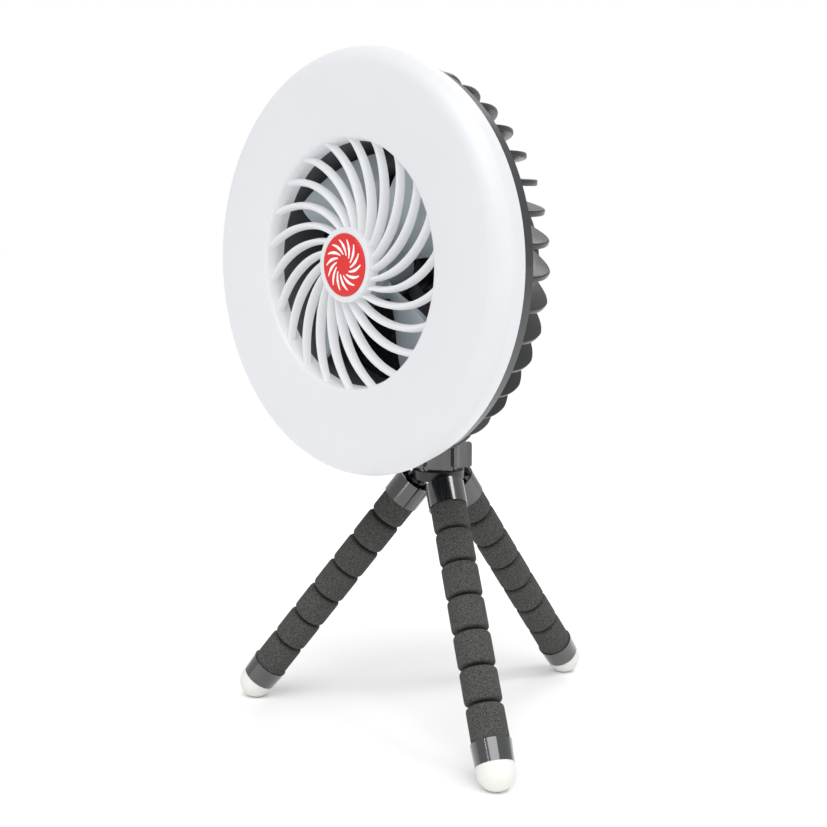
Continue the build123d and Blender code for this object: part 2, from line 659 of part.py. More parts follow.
def foot():
    """Rubber foot: a dome with a spigot in the leg's end."""
    dome_end = dome_at + FOOT_RADIUS
    dome = turned(
        Polyline((0, tip_end), (FOOT_RADIUS, tip_end), (FOOT_RADIUS, dome_at)),
        TangentArc((FOOT_RADIUS, dome_at), (0, dome_end), tangent=(0, 1)),
        Line((0, dome_end), (0, tip_end)),
    )
    return dome + drum(FOOT_SPIGOT_RADIUS, tip_end - FOOT_SPIGOT_LENGTH, tip_end)


def leg_place(turn):
    """Frame of a leg: origin at its ball, +Z along the leg, +X outwards and up."""
    out_x = math.sin(math.radians(turn))
    out_y = -math.cos(math.radians(turn))
    origin = (hip_radius * out_x, stud_y + hip_radius * out_y, hip_z)
    along = (splay_sin * out_x, splay_sin * out_y, -splay_cos)
    outwards = (splay_cos * out_x, splay_cos * out_y, splay_sin)
    return Plane(origin, x_dir=outwards, z_dir=along).location


def add_head():
    shapes = {
        "front_diffuser": front_moulding(),
        "badge": badge(),
        "rear_housing": rear_housing(),
        "fan_duct": fan_duct(),
        "motor": motor(),
        "motor_shaft": motor_shaft(),
        "impeller": impeller(),
        "light_board": light_board(),
        "lamps": lamps(),
        "rear_cover": rear_cover(),
        "cover_screws": cover_screws(),
        "control_board": control_board(),
        "charging_socket": charging_socket(),
        "battery_cell": battery_cell(),
    }
    for name, place in zip(("fan_button", "light_button"), button_places()):
        shapes[name] = place * button()
    for name, shape in shapes.items():
        pieces[name] = head_place * shape


def add_tripod():
    shapes = {
        "threaded_insert": threaded_insert(),
        "tripod_stud": stud(),
        "lock_nut": lock_nut(),
        "tripod_hub": tripod_hub(),
    }
    for name, shape in shapes.items():
        pieces[name] = stud_place * shape
    ground_side = 2 * (foot_reach + stud_depth)
    ground = Box(ground_side, ground_side, FOOT_RADIUS, align=(Align.CENTER, Align.CENTER, Align.MAX))
    for side, turn in LEG_TURNS.items():
        place = leg_place(turn)
        pieces[side + "_leg_top_ferrule"] = place * top_ferrule()
        pieces[side + "_leg_core_wire"] = place * core_wire()
        for number in range(1, COLLAR_COUNT + 1):
            pieces[side + "_leg_collar_" + str(number)] = place * collar(number)
        pieces[side + "_leg_bottom_ferrule"] = place * bottom_ferrule()
        pieces[side + "_leg_foot"] = place * foot() - ground


add_head()
add_tripod()
os.makedirs("parts", exist_ok=True)
for node, shape in pieces.items():
    export_step(shape, "parts/" + node + ".step")
print("pieces", len(pieces), "fan axis", round(axis_z, 3))
print("border", round(border_y, 3), "stud", round(stud_y, 3))
print("ball centres", round(hip_z, 3), "foot reach", round(foot_reach, 3))
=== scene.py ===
# %% [markdown]
# Camping fan with a ring light, on a tripod with bendable foam legs.
# The CAD model is loaded as a fixed frame. Its rigid mouldings are already right, so they only get
# finishes here. The milky front with its ribs, the badge, the housing's fins, the foam collars and
# the core wires are modelled again, because their rounded edges, thin reliefs and bends are easier
# to shape as meshes.

# %% Load the frame
import json
import math
import bpy
from mathutils import Matrix, Vector


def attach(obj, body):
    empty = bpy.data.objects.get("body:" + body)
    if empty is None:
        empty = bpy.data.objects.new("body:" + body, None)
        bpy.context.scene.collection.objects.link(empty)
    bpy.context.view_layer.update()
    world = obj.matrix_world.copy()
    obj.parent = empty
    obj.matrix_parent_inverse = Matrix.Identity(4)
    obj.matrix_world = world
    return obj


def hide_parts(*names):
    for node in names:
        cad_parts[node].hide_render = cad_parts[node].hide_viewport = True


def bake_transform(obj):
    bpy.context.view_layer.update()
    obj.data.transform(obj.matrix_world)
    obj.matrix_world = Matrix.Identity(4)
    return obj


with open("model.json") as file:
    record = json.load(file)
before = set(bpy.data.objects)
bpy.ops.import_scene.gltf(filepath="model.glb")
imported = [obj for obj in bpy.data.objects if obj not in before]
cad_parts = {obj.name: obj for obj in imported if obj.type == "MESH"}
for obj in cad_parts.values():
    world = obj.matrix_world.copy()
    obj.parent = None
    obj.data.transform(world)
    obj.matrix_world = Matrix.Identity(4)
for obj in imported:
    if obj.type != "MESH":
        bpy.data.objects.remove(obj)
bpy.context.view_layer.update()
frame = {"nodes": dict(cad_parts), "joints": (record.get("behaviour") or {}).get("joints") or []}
nodes = frame["nodes"]
joints = {joint["name"]: joint for joint in frame["joints"]}
MM = 0.001  # metres
fan_centre = Vector(joints["impeller_spin"]["pos_m"])
stud_axis = Vector(joints["head_pan"]["pos_m"])
print("fan centre", fan_centre, "stud axis", stud_axis)

# %% [markdown]
# The camera stands where the photograph was taken from: right of the fan's front and a little above
# it. Its place and lens were worked out from the round disc, the badge and the legs, whose grooves
# are evenly spaced. A short telephoto keeps the disc an even ellipse.

# %% Camera
VIEW_TURN = 46.115  # degrees to the right of the fan's front
VIEW_RISE = 7.373  # degrees above level
LENS = 58.783  # millimetres
SENSOR = 36.0  # millimetres
STANDPOINT = Vector((416.49, -415.80, 10.54)) * MM  # from the stud's axis, level with the fan's centre
camera_data = bpy.data.cameras.new("camera")
camera_data.lens = LENS
camera_data.sensor_width = SENSOR
camera = bpy.data.objects.new("camera", camera_data)
camera.location = STANDPOINT + Vector((0, stud_axis.y, fan_centre.z))
camera.rotation_euler = (math.pi / 2 - math.radians(VIEW_RISE), 0, math.radians(VIEW_TURN))
bpy.context.scene.collection.objects.link(camera)
bpy.context.scene.camera = camera
bpy.context.scene.view_settings.view_transform = "Standard"
print("camera at", camera.location)

# %% [markdown]
# Most new pieces of this object are round. Each starts as one point, which is extruded along the
# piece's section, and the section is spun about its axis, as on a lathe. These small helpers keep
# the selection clean, draw and turn a section, round its edges, shade it, and put a finished mesh
# in its place.


# %% Helpers for modelling
def only(piece):
    """Makes one object the whole selection."""
    bpy.ops.object.select_all(action="DESELECT")
    piece.select_set(True)
    bpy.context.view_layer.objects.active = piece


def draw(name, line):
    """Draws edges through (x, z) points in millimetres, and leaves them selected in edit mode."""
    bpy.ops.object.select_all(action="DESELECT")
    bpy.ops.mesh.primitive_plane_add(size=MM)
    piece = bpy.context.object
    piece.name = name
    bpy.ops.object.mode_set(mode="EDIT")
    bpy.ops.mesh.select_all(action="SELECT")
    bpy.ops.mesh.merge(type="CENTER")
    bpy.ops.transform.translate(value=(line[0][0] * MM, 0, line[0][1] * MM))
    for before, after in zip(line, line[1:]):
        step = ((after[0] - before[0]) * MM, 0, (after[1] - before[1]) * MM)
        bpy.ops.mesh.extrude_region_move(TRANSFORM_OT_translate={"value": step})
    bpy.ops.mesh.select_all(action="SELECT")
    return piece


def turn(name, section, steps):
    """Spins a section, given as (radius, height) in millimetres, about Z."""
    piece = draw(name, section)
    bpy.ops.mesh.spin(steps=steps, angle=math.tau, center=(0, 0, 0), axis=(0, 0, 1))
    bpy.ops.mesh.select_all(action="SELECT")
    bpy.ops.mesh.remove_doubles(threshold=MM / 1000)
    bpy.ops.mesh.normals_make_consistent(inside=False)
    bpy.ops.object.mode_set(mode="OBJECT")
    return piece


def modify(piece, kind, **settings):
    """Adds one modifier and applies it."""
    only(piece)
    modifier = piece.modifiers.new(kind.lower(), kind)
    for key, value in settings.items():
        setattr(modifier, key, value)
    bpy.ops.object.modifier_apply(modifier=modifier.name)


def smooth(piece, angle):
    """Shades a mesh smooth, apart from edges sharper than an angle in degrees."""
    only(piece)
    bpy.ops.object.shade_smooth_by_angle(angle=math.radians(angle))


def round_edges(piece, width, segments=3, angle=35):
    """Rounds edges sharper than an angle in degrees, to a width in millimetres, and shades the mesh."""
    modify(
        piece, "BEVEL", width=width * MM, segments=segments, limit_method="ANGLE",
        angle_limit=math.radians(angle),
    )
    smooth(piece, angle)


def put(piece, place):
    """Moves a mesh to its place and leaves its object at the origin."""
    only(piece)
    piece.matrix_world = place
    bpy.ops.object.transform_apply(location=True, rotation=True, scale=True)


# %% [markdown]
# Colours are written as the sRGB hex values that a paint chart gives. Blender's shaders work in
# linear light, so one function converts them. A second small function adds a node to a material
# with its settings and its links, which keeps each finish readable as a list of nodes.

# %% Helpers for materials
MIX_SHARE, MIX_FIRST, MIX_SECOND = 0, 6, 7  # a Mix node's inputs when it mixes colours
MIX_RESULT = 2  # its colour output


def linear(code):
    """Linear colour of an sRGB hex code."""
    parts = [int(code[k:k + 2], 16) / 255 for k in (1, 3, 5)]
    return [p / 12.92 if p <= 0.04045 else ((p + 0.055) / 1.055) ** 2.4 for p in parts] + [1.0]


def add(tree, kind, settings, links=()):
    """Adds a node, sets its inputs or properties, and links sources to its inputs."""
    node = tree.nodes.new(kind)
    for key, value in settings.items():
        if isinstance(key, int) or key in node.inputs:
            node.inputs[key].default_value = value
        else:
            setattr(node, key, value)
    for socket, source in links:
        tree.links.new(source, node.inputs[socket])
    return node


def per_mm(size):
    """Texture scale for a pattern whose grains are this many millimetres across."""
    return 1 / (size * MM)


def new_material(name, **settings):
    """Material with a Principled shader, and the coordinates that its patterns read."""
    material = bpy.data.materials.new(name)
    material.use_nodes = True
    tree = material.node_tree
    shader = tree.nodes["Principled BSDF"]
    for key, value in settings.items():
        shader.inputs[key.replace("_", " ")].default_value = value
    coordinates = add(tree, "ShaderNodeTexCoord", {})
    return material, tree, shader, coordinates.outputs["Object"]


# %% [markdown]
# Most of the fan is moulded plastic. A moulding takes the texture of its tool, so one function gives
# all of them a slow drift of tone, a fine texture, and gloss that varies with that texture. A real
# tool texture has grains of about a tenth of a millimetre, too fine to show at this size, so each
# grain is drawn coarser.

# %% Moulded plastic
PLASTIC_IOR = 1.53
TONE_DRIFT = 28  # millimetres from one pale patch to the next
DULLER, GLOSSIER = 0.07, 0.05  # how far roughness goes either way
TEXTURE_STRENGTH = 0.25


def moulded_plastic(name, light, dark, roughness, grain, depth, **settings):
    """Plastic between two tones, with the grain and depth of its texture in millimetres."""
    material, tree, shader, where = new_material(name, IOR=PLASTIC_IOR, **settings)
    drift = add(
        tree, "ShaderNodeTexNoise", {"Scale": per_mm(TONE_DRIFT), "Detail": 3.0}, [("Vector", where)]
    )
    tone = add(
        tree, "ShaderNodeMix",
        {"data_type": "RGBA", MIX_FIRST: linear(dark), MIX_SECOND: linear(light)},
        [(MIX_SHARE, drift.outputs[0])],
    )
    texture = add(
        tree, "ShaderNodeTexNoise", {"Scale": per_mm(grain), "Detail": 2.0}, [("Vector", where)]
    )
    gloss = add(
        tree, "ShaderNodeMapRange", {"To Min": roughness - GLOSSIER, "To Max": roughness + DULLER},
        [("Value", texture.outputs[0])],
    )
    bump = add(
        tree, "ShaderNodeBump", {"Strength": TEXTURE_STRENGTH, "Distance": depth * MM},
        [("Height", texture.outputs[0])],
    )
    tree.links.new(tone.outputs[MIX_RESULT], shader.inputs["Base Color"])
    tree.links.new(gloss.outputs[0], shader.inputs["Roughness"])
    tree.links.new(bump.outputs[0], shader.inputs["Normal"])
    return material


# %% [markdown]
# The front is opal polycarbonate, a milky plastic that spreads the ring light. Light that enters it
# scatters right through and comes out all over, which softens its shade. A little scattering under
# the skin gives some of that, and a faint painted glow, an emission with no lamp in it, lifts the
# shade further. The dark parts are ABS: satin where the mould was eroded to a fine texture, and with
# narrow bright streaks where it was polished.

# %% Plastics
# Milky, with a soft satin sheen, and a painted glow that evens out its shade.
opal_polycarbonate_painted_glow = moulded_plastic(
    "opal_polycarbonate_painted_glow", "#B9BABC", "#B5B6B9", roughness=0.42, grain=0.9, depth=0.02,
    Subsurface_Weight=0.2, Subsurface_Scale=0.001, Subsurface_Radius=(1, 1, 1),
    # Painted glow: an emission that lifts the front's shade, though the front is no lamp here.
    Emission_Color=linear("#FAFBFF"), Emission_Strength=0.25,
)
# Nearly black, with a broad sheen that lifts it to grey in the light.
charcoal_abs = moulded_plastic(
    "charcoal_abs", "#232527", "#1C1E20", roughness=0.24, grain=0.5, depth=0.02
)
# The duct behind the blades: a dull mid grey, kept pale so that the shaded throat does not go black.
# This paleness is painted light.
graphite_abs_painted_lift = moulded_plastic(
    "graphite_abs_painted_lift", "#5C5E61", "#525457", roughness=0.4, grain=0.5, depth=0.02
)
# Polished: dark, with narrow bright streaks.
polished_abs = moulded_plastic(
    "polished_charcoal_abs", "#232527", "#1C1E20", roughness=0.18, grain=1.6, depth=0.01,
    Coat_Weight=1.0, Coat_Roughness=0.06, Coat_IOR=1.7,
)
# Clear red all through, with a satin face.
red_abs = moulded_plastic("red_abs", "#D61D1C", "#CE1717", roughness=0.42, grain=0.7, depth=0.03)
# Pad-printed ink: flat, dull white.
white_print = moulded_plastic(
    "white_pad_print", "#F6F4F2", "#EFEDEB", roughness=0.5, grain=0.4, depth=0.02
)
# Moulded silicone: a warm white with hardly any shine.
white_rubber = moulded_plastic(
    "white_silicone_rubber", "#E4E3DF", "#D9D8D3", roughness=0.5, grain=0.6, depth=0.04
)
# Thin smoked blades: cool grey, glossy, with a little light coming through.
smoke_polycarbonate = moulded_plastic(
    "smoke_polycarbonate", "#B6C1C7", "#ABB6BC", roughness=0.16, grain=2.0, depth=0.02,
    Transmission_Weight=0.12,
)
print("plastics", len(bpy.data.materials))

# %% [markdown]
# The legs are sleeved in EVA foam, cut from a block. The cut opens thousands of tiny cells, so it
# scatters light like felt: charcoal with paler and darker specks, with no shine at all. Noise at the
# size of the cells gives the mottle and the pits, and cell centres give the pale specks.

# %% Foam
FOAM_CELL = 0.45  # millimetres
FOAM_PIT = 0.25  # millimetres deep
eva_foam, tree, shader, where = new_material("eva_foam", Roughness=0.92, IOR=1.4)
cells = add(tree, "ShaderNodeTexVoronoi", {"Scale": per_mm(FOAM_CELL)}, [("Vector", where)])
mottle = add(
    tree, "ShaderNodeTexNoise", {"Scale": per_mm(FOAM_CELL), "Detail": 2.0}, [("Vector", where)]
)
# Noise stays near its middle value, so that middle is stretched to the full contrast.
contrast = add(
    tree, "ShaderNodeMapRange", {"From Min": 0.36, "From Max": 0.64}, [("Value", mottle.outputs[0])]
)
base = add(
    tree, "ShaderNodeMix",
    {"data_type": "RGBA", MIX_FIRST: linear("#282827"), MIX_SECOND: linear("#575754")},
    [(MIX_SHARE, contrast.outputs[0])],
)
# A speck fades out with the distance from its cell's centre.
speck = add(
    tree, "ShaderNodeMapRange", {"From Min": 0.16, "From Max": 0.05, "To Max": 0.5},
    [("Value", cells.outputs[0])],
)
tone = add(
    tree, "ShaderNodeMix", {"data_type": "RGBA", MIX_SECOND: linear("#83837F")},
    [(MIX_SHARE, speck.outputs[0]), (MIX_FIRST, base.outputs[MIX_RESULT])],
)
pits = add(
    tree, "ShaderNodeBump", {"Strength": 0.55, "Distance": FOAM_PIT * MM},
    [("Height", mottle.outputs[0])],
)
tree.links.new(tone.outputs[MIX_RESULT], shader.inputs["Base Color"])
tree.links.new(pits.outputs[0], shader.inputs["Normal"])
print("foam with cells of", FOAM_CELL, "mm")

# %% [markdown]
# Metal shows in few places: screws, socket, motor can, stud and core wires are steel or aluminium,
# and the insert is brass. Drawn and turned metal has fine lines, which a stretched noise gives. They
# are drawn coarser than real ones, so that they show. The boards, lamps and battery cell are inside,
# and get simple moulded or coated finishes.

# %% Metals and electronics
METAL_LINE = 0.4  # millimetres from line to line
METAL_STRETCH = (1.0, 0.06, 1.0)  # long in Y
METAL_DULLER, METAL_GLOSSIER = 0.12, 0.08  # how far roughness goes either way


def drawn_metal(name, code, roughness):
    """Bare metal with fine drawing lines."""
    material, tree, shader, where = new_material(name, Metallic=1.0, Base_Color=linear(code))
    stretch = add(tree, "ShaderNodeMapping", {"Scale": METAL_STRETCH}, [("Vector", where)])
    lines = add(
        tree, "ShaderNodeTexNoise", {"Scale": per_mm(METAL_LINE)}, [("Vector", stretch.outputs[0])]
    )
    gloss = add(
        tree, "ShaderNodeMapRange",
        {"To Min": roughness - METAL_GLOSSIER, "To Max": roughness + METAL_DULLER},
        [("Value", lines.outputs[0])],
    )
    tree.links.new(gloss.outputs[0], shader.inputs["Roughness"])
    return material


steel = drawn_metal("zinc_plated_steel", "#B9BBBD", roughness=0.32)  # cool and bright
aluminium = drawn_metal("drawn_aluminium", "#C9CACB", roughness=0.38)  # paler and softer
brass = drawn_metal("turned_brass", "#C8A45C", roughness=0.34)  # warm yellow
# The white lacquer of a circuit board, the yellow face of an unlit lamp, and a cell's thin blue film.
solder_mask = moulded_plastic(
    "white_solder_mask", "#D9DBD8", "#CFD2CF", roughness=0.4, grain=0.8, depth=0.02
)
phosphor = moulded_plastic("lamp_phosphor", "#F0E39A", "#E8D988", roughness=0.45, grain=0.5, depth=0.02)
cell_wrap = moulded_plastic(
    "cell_shrink_wrap", "#3A6EA5", "#336499", roughness=0.3, grain=1.5, depth=0.02
)
print("all materials", len(bpy.data.materials))

# %% [markdown]
# The rigid mouldings keep their CAD meshes. Each gets the finish of its real material.

# %% Finishes on the CAD pieces
SIDES = ("left", "right", "rear")
ferrules = [f"{side}_leg_{end}_ferrule" for side in SIDES for end in ("top", "bottom")]
finishes = {
    charcoal_abs: ["rear_housing", "rear_cover", "tripod_hub"],
    graphite_abs_painted_lift: ["fan_duct"],
    polished_abs: ["lock_nut", "fan_button"] + ferrules,
    smoke_polycarbonate: ["impeller"],
    steel: ["motor", "motor_shaft", "cover_screws", "charging_socket", "tripod_stud"],
    brass: ["threaded_insert"],
    solder_mask: ["light_board", "control_board"],
    phosphor: ["lamps"],
    cell_wrap: ["battery_cell"],
    opal_polycarbonate_painted_glow: ["light_button"],
    white_rubber: [side + "_leg_foot" for side in SIDES],
}
for material, names in finishes.items():
    for name in names:
        nodes[name].data.materials.clear()
        nodes[name].data.materials.append(material)
print("finished CAD pieces", sum(len(names) for names in finishes.values()))

# %% [markdown]
# The milky front is one moulding: a thick ring with a drafted skirt, a rounded edge and a gently
# crowned face, which rolls over a small lip into the grille's throat. The ring is turned from its
# section, whose curves are arcs through three measured points. Heights are in front of the border
# with the housing, so they are negative here.


# %% Front ring
def arc(start, middle, end, count):
    """Even points on the circle through three points."""
    (ax, ay), (bx, by), (cx, cy) = start, middle, end
    spread = 2 * (ax * (by - cy) + bx * (cy - ay) + cx * (ay - by))
    a_square, b_square, c_square = ax * ax + ay * ay, bx * bx + by * by, cx * cx + cy * cy
    centre_x = (a_square * (by - cy) + b_square * (cy - ay) + c_square * (ay - by)) / spread
    centre_y = (a_square * (cx - bx) + b_square * (ax - cx) + c_square * (bx - ax)) / spread
    first, halfway, last = (math.atan2(y - centre_y, x - centre_x) for x, y in (start, middle, end))
    sweep = (last - first) % math.tau
    if (halfway - first) % math.tau > sweep:
        sweep -= math.tau
    radius = math.hypot(ax - centre_x, ay - centre_y)
    turns = [first + sweep * k / (count - 1) for k in range(count)]
    return [(centre_x + radius * math.cos(t), centre_y + radius * math.sin(t)) for t in turns]


skirt = [(85, 0), (86.9, -7.5)]
edge = arc((86.9, -7.5), (84.53, -13.23), (79.7, -15.55), count=14)[1:]
face = arc((79.7, -15.55), (69, -16.2), (53.4, -14.75), count=24)[1:]
lip = [(52.6, -14.55), (51.9, -14.3), (51.4, -13.95), (51.05, -13.5), (50.85, -13), (50.6, -12.2)]
throat = [(50.2, -10.9), (49.9, -9.6), (49.8, -8.2), (49.8, -6), (51.6, -6)]
pocket = [(51.6, -8), (52.5, -13.2), (69, -14.4), (78.8, -13.8), (85.1, -7.5), (83.2, 0), (85, 0)]
front = turn("front_moulding", skirt + edge + face + lip + throat + pocket, steps=192)
smooth(front, angle=35)
print("ring", len(front.data.vertices), "points")

# %% [markdown]
# The grille's ribs and the badge's vanes are both strips that follow an arc on the face. A strip
# starts as a flat grid, and its rows are moved onto the arc. Its width and height change along it,
# and its middle row stands proud, so that its front is rounded. One strip is made and copied round.


# %% Helpers for strips on the face
def on_face(radius, degrees):
    """Point on the face at an angle clockwise from the top, seen from the front."""
    return (radius * math.sin(math.radians(degrees)), -radius * math.cos(math.radians(degrees)))


def between(stops, at):
    """Straight-line reading of a table of (radius, value)."""
    for (r0, v0), (r1, v1) in zip(stops, stops[1:]):
        if at <= r1:
            return v0 + (v1 - v0) * (at - r0) / (r1 - r0)
    return stops[-1][1]


STRIP_ROWS = 4  # across a strip


def swept_strip(name, line, widths, heights, crown):
    """Strip along a line on the face, with its width and its height read from tables by radius."""
    last = len(line) - 1
    bpy.ops.object.select_all(action="DESELECT")
    bpy.ops.mesh.primitive_grid_add(x_subdivisions=last, y_subdivisions=STRIP_ROWS, size=1)
    strip = bpy.context.object
    strip.name = name
    for vertex in strip.data.vertices:
        k = round((vertex.co.x + 0.5) * last)
        across = vertex.co.y * 2
        ahead, behind = line[min(k + 1, last)], line[max(k - 1, 0)]
        dx, dy = ahead[0] - behind[0], ahead[1] - behind[1]
        length = math.hypot(dx, dy)
        radius = math.hypot(*line[k])
        half = between(widths, radius) / 2 * across
        height = between(heights, radius) + crown * (1 - across * across)
        x, y = line[k][0] - dy / length * half, line[k][1] + dx / length * half
        vertex.co = Vector((x, y, -height)) * MM
    return strip


def fix_normals(piece):
    """Turns every face of a closed mesh outwards."""
    only(piece)
    bpy.ops.object.mode_set(mode="EDIT")
    bpy.ops.mesh.select_all(action="SELECT")
    bpy.ops.mesh.normals_make_consistent(inside=False)
    bpy.ops.object.mode_set(mode="OBJECT")


def copy_round(piece, count):
    """Copies a mesh evenly round Z."""
    only(piece)
    bpy.ops.object.mode_set(mode="EDIT")
    bpy.ops.mesh.select_all(action="SELECT")
    bpy.ops.mesh.spin(
        steps=count - 1, dupli=True, angle=math.tau * (count - 1) / count,
        center=(0, 0, 0), axis=(0, 0, 1),
    )
    bpy.ops.object.mode_set(mode="OBJECT")


# %% [markdown]
# Swept ribs run from the middle disc to the throat's lip and sink into the face, like a pinwheel.
# Solidify doubles the strip of one rib. Then its back is pushed deeper, most of all near the middle
# of the fan, and a bevel rounds its long edges.

# %% Grille ribs
RIB_COUNT = 22
RIB_POINTS = 18  # along the rib
RIB_CROWN = 0.85
RIB_SKIN = 1.0  # thickness before the back is pushed in
RIB_ROUNDING = 0.95
rib_widths = [(13, 2.4), (24, 2.9), (36, 3.1), (49, 3.2), (53.5, 3.3)]
rib_heights = [(13, 13.55), (32, 13.1), (49, 12.8), (51.5, 13.2), (53.5, 13.65)]
rib_depths = [(13, 5.4), (30, 5.2), (42, 4.6), (53.5, 3.8)]
rib_line = arc(on_face(14.2, 14.5), on_face(32, -10.9), on_face(53.2, -34.2), RIB_POINTS)
rib = swept_strip("rib", rib_line, rib_widths, rib_heights, RIB_CROWN)
front_points = len(rib.data.vertices)
modify(rib, "SOLIDIFY", thickness=RIB_SKIN * MM, offset=1.0)
for vertex in rib.data.vertices[front_points:]:
    radius = math.hypot(vertex.co.x, vertex.co.y) / MM
    vertex.co.z += (between(rib_depths, radius) - RIB_SKIN) * MM
fix_normals(rib)
round_edges(rib, RIB_ROUNDING, segments=4, angle=50)
print("one rib", len(rib.data.polygons), "faces")
copy_round(rib, RIB_COUNT)

# %% [markdown]
# A small disc closes the middle of the spiral, with a shallow seat for the badge. Ring, ribs and disc
# are joined into the one piece that stands for the moulding. All of the head is modelled with its
# axis upright, and one matrix then lays it on its side at the fan's centre.

# %% Middle disc, and the whole front
middle_section = [(0, -14), (12.9, -14), (12.9, -14.5), (15.2, -14.5), (15.2, -9.1), (0, -9.1)]
middle = turn("middle", middle_section, steps=96)
round_edges(middle, width=0.35)
bpy.ops.object.select_all(action="DESELECT")
for part in (middle, rib, front):
    part.select_set(True)
bpy.context.view_layer.objects.active = front
bpy.ops.object.join()
front.data.materials.clear()
front.data.materials.append(opal_polycarbonate_painted_glow)
head_place = Matrix.Translation(fan_centre) @ Matrix.Rotation(-math.pi / 2, 4, "X")
put(front, head_place)
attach(front, "head")
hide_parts("front_diffuser")
print("front", len(front.data.polygons), "faces")

# %% [markdown]
# The badge is a red disc with a slightly domed face. Its white motif is a plain ring of slim vanes
# that echoes the grille. Each vane is a thin strip like a rib, a tenth of a millimetre proud.

# %% Badge
badge_front = [(0, -14.9), (6, -14.89), (10, -14.84), (12.3, -14.76)]
badge = turn("badge_disc", badge_front + [(12.7, -14.4), (12.7, -14), (0, -14)], steps=96)
smooth(badge, angle=40)
badge.data.materials.append(red_abs)
put(badge, head_place)
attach(badge, "head")
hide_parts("badge")

VANE_COUNT = 14
VANE_POINTS = 10  # along the vane
VANE_CROWN = 0.04
VANE_THICKNESS = 0.18
vane_widths = [(4, 0.5), (7.5, 1.3), (10.5, 0.5)]
vane_heights = [(4, 14.96), (7.5, 14.94), (10.5, 14.9)]
vane_line = arc(on_face(4.2, 26), on_face(7.2, 4), on_face(10.4, -14), VANE_POINTS)
vanes = swept_strip("badge_vanes", vane_line, vane_widths, vane_heights, VANE_CROWN)
modify(vanes, "SOLIDIFY", thickness=VANE_THICKNESS * MM, offset=1.0)
fix_normals(vanes)
copy_round(vanes, VANE_COUNT)
vanes.data.materials.append(white_print)
put(vanes, head_place)
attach(vanes, "head")
print("badge", len(badge.data.polygons), "faces, vanes", len(vanes.data.polygons), "faces")

# %% [markdown]
# The housing's thin cooling fins lean like the blades of a turbine. Their rounded shoulders and soft
# edges catch the light, so one fin is drawn again as a plate: a point is extruded along its outline,
# which is filled and thickened. It covers the plain fin below it, and a spin copies it round the bowl.

# %% Housing fins
FIN_COUNT = 42
FIN_LEAN = 28.0  # degrees
FIN_FIRST_TURN = -6.5  # degrees
FIN_THICKNESS = 2.5
FIN_ROUNDING = 0.6
BOWL_RADIUS = 79.0
fin_outline = arc((82.75, 5.9), (82.3, 13.2), (79.3, 20.3), count=9)
fin_outline += arc((79.3, 20.3), (76.6, 22.6), (73.2, 24.4), count=6)[1:]
fin_outline += arc((73.2, 24.4), (61, 27.1), (42.7, 26.65), count=12)[1:]
fin_outline += [(42.7, 24), (55, 18.4), (65, 13.4), (75, 8.1), (78.8, 5.9)]
fins = draw("housing_fins", fin_outline)
bpy.ops.mesh.edge_face_add()
bpy.ops.object.mode_set(mode="OBJECT")
modify(fins, "SOLIDIFY", thickness=FIN_THICKNESS * MM, offset=0.0)
fix_normals(fins)
round_edges(fins, FIN_ROUNDING, segments=3, angle=50)
bowl_edge = Matrix.Translation((BOWL_RADIUS * MM, 0, 0))
lean = bowl_edge @ Matrix.Rotation(math.radians(FIN_LEAN), 4, "Z") @ bowl_edge.inverted()
put(fins, Matrix.Rotation(math.radians(FIN_FIRST_TURN), 4, "Z") @ lean)
copy_round(fins, FIN_COUNT)
fins.data.materials.append(charcoal_abs)
put(fins, head_place)
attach(fins, "head")
print("fins", len(fins.data.polygons), "faces")

# %% [markdown]
# Each leg is modelled along its own axis and then put in place with the leg's frame. That frame
# starts at the hip joint: Z runs down the leg, and X points outwards and up from it.

# %% Leg frames
LEG_SPLAY = math.radians(38.0)
UP = Vector((0, 0, 1))
leg_places = {}
for side in SIDES:
    hip = joints[side + "_leg_hip"]
    out = UP.cross(Vector(hip["axis"]))
    along = out * math.sin(LEG_SPLAY) - UP * math.cos(LEG_SPLAY)
    outwards = out * math.cos(LEG_SPLAY) + UP * math.sin(LEG_SPLAY)
    axes = Matrix((outwards, along.cross(outwards), along)).transposed().to_4x4()
    leg_places[side] = Matrix.Translation(Vector(hip["pos_m"])) @ axes
print("legs", list(leg_places))

# %% [markdown]
# A leg is sleeved in foam collars, threaded on a soft wire. A collar is a short drum with rounded
# ends, so that a narrow groove shows between two of them. The first and the last one are tucked into
# the ferrules, so their hidden ends stay plain.

# %% Foam collars
COLLAR_COUNT = 7
COLLAR_PITCH = 15.28
COLLAR_FIRST = 7.5  # the first collar's pitch starts this far from the hip
FOAM_START = 8.9  # just clear of the floor inside the top ferrule
FOAM_TUCK = 1.9  # the last collar reaches this far into the bottom ferrule
FOAM_RADIUS = 7.8
FOAM_BORE = 2.4
COLLAR_CORNER = [
    (FOAM_BORE, 0.6), (4.6, 0.6), (6.2, 0.62), (6.9, 0.78), (7.4, 1.12), (7.7, 1.62), (FOAM_RADIUS, 2.3)
]


def plain_end(at):
    """Section of a collar's hidden end."""
    return [(FOAM_BORE, at), (FOAM_RADIUS, at)]


def rounded_end(at, inwards):
    """Section of a collar's rounded end: inwards is +1 at its top and -1 at its bottom."""
    return [(radius, at + inwards * height) for radius, height in COLLAR_CORNER]


for side, leg_place in leg_places.items():
    for number in range(1, COLLAR_COUNT + 1):
        start = COLLAR_FIRST + (number - 1) * COLLAR_PITCH
        end = start + COLLAR_PITCH
        top = plain_end(FOAM_START) if number == 1 else rounded_end(start, 1)
        bottom = plain_end(end + FOAM_TUCK) if number == COLLAR_COUNT else rounded_end(end, -1)
        collar = turn(f"{side}_leg_foam_{number}", top + bottom[::-1] + top[:1], steps=64)
        smooth(collar, angle=40)
        collar.data.materials.append(eva_foam)
        put(collar, leg_place)
        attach(collar, f"{side}_leg_{number}")
        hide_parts(f"{side}_leg_collar_{number}")
print("collars", len(SIDES) * COLLAR_COUNT)
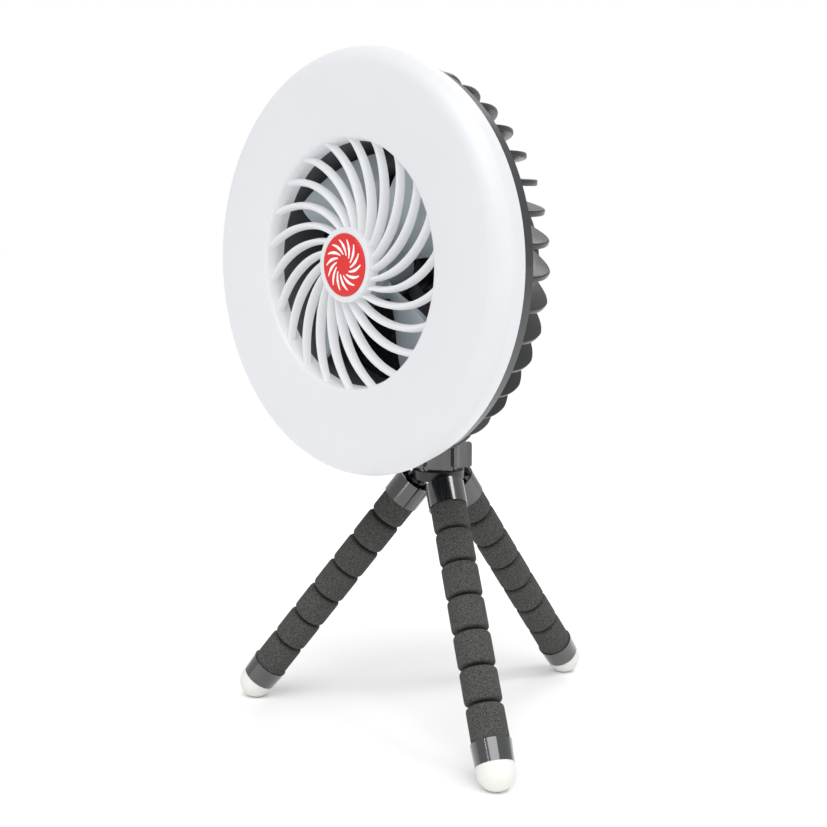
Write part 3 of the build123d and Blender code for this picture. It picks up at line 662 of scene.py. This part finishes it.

# %% [markdown]
# A soft aluminium wire runs down the middle of each leg and keeps whatever curve it is bent to. It is
# made in lengths that run from the middle of one collar to the middle of the next. Each length is
# straight, with rings close together near the groove between them. It is placed along its leg but
# is not attached to the collars' bodies.

# %% Core wires
WIRE_RADIUS = 2.0
WIRE_START = 6.4  # seated in the top ferrule
WIRE_END = 118.8  # seated in the bottom ferrule
WIRE_BEND = 3.0  # each side of a groove
WIRE_RINGS = 3  # each side of a groove
for side, leg_place in leg_places.items():
    for number in range(1, COLLAR_COUNT):
        groove = COLLAR_FIRST + number * COLLAR_PITCH
        first = WIRE_START if number == 1 else groove - COLLAR_PITCH / 2
        last = WIRE_END if number == COLLAR_COUNT - 1 else groove + COLLAR_PITCH / 2
        bends = [groove + WIRE_BEND * k / WIRE_RINGS for k in range(-WIRE_RINGS, WIRE_RINGS + 1)]
        rings = [(WIRE_RADIUS, at) for at in [first] + bends + [last]]
        wire = turn(f"{side}_leg_wire_{number}", [(0, first)] + rings + [(0, last)], steps=24)
        smooth(wire, angle=40)
        wire.data.materials.append(aluminium)
        put(wire, leg_place)
        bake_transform(wire)
        if number == 1:
            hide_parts(side + "_leg_core_wire")
print("wire lengths", len(SIDES) * (COLLAR_COUNT - 1))

# %% [markdown]
# The stage is a plain white floor in a white room, like a light tent. The room looks brighter to the
# camera than it shines on the fan, so the background stays white and the shade keeps its depth.

# %% Floor and room
FLOOR_SIZE = 40  # metres, so that its far edge lies at the horizon
ROOM_LIGHT = 0.62
ROOM_SEEN = 1.0
bpy.ops.object.select_all(action="DESELECT")
bpy.ops.mesh.primitive_plane_add(size=FLOOR_SIZE)
floor = bpy.context.object
floor.name = "floor"
white_paper = new_material("white_paper", Base_Color=linear("#F9F9F9"), Roughness=0.9)[0]
floor.data.materials.append(white_paper)

world = bpy.data.worlds.new("studio")
world.use_nodes = True
tree = world.node_tree
room = tree.nodes["Background"]
room.inputs["Color"].default_value = (1, 1, 1, 1)
seen = add(tree, "ShaderNodeLightPath", {})
strength = add(
    tree, "ShaderNodeMapRange", {"To Min": ROOM_LIGHT, "To Max": ROOM_SEEN},
    [("Value", seen.outputs["Is Camera Ray"])],
)
tree.links.new(strength.outputs[0], room.inputs["Strength"])
bpy.context.scene.world = world
print("room light", ROOM_LIGHT)

# %% [markdown]
# A broad front window, up on the right, lights the disc and brightens the floor until the horizon
# vanishes. A softbox above lights the edge of the disc, and one behind makes the housing's fins
# shine. Two upright strips, in front and on the right, draw the streaks on the polished plastic.


# %% Lamps
def lamp(name, kind, place, aim, **settings):
    """Lamp turned towards a point."""
    data = bpy.data.lights.new(name, kind)
    for key, value in settings.items():
        setattr(data, key, value)
    piece = bpy.data.objects.new(name, data)
    piece.location = place
    piece.rotation_euler = (Vector(aim) - Vector(place)).to_track_quat("-Z", "Y").to_euler()
    bpy.context.scene.collection.objects.link(piece)


strip = {"shape": "RECTANGLE", "size": 0.02, "size_y": 0.6}
lamp("front_window", "SUN", (0.55, -0.6, 1.2), (0, 0, 0), energy=1.78, angle=math.radians(50))
lamp("top_softbox", "AREA", (0.52, 0.24, 1.15), (0, 0, 0.15), energy=2.4, shape="SQUARE", size=0.35)
lamp("back_softbox", "AREA", (-0.24, 0.7, 0.98), (0, 0, 0.2), energy=1.4, shape="SQUARE", size=0.42)
lamp("left_strip", "AREA", (0.1, -0.95, 0.3), (0, 0, 0.12), energy=0.5, **strip)
lamp("right_strip", "AREA", (1.0, 0.1, 0.35), (0, 0, 0.12), energy=0.7, **strip)
print("lamps", len(bpy.data.lights))
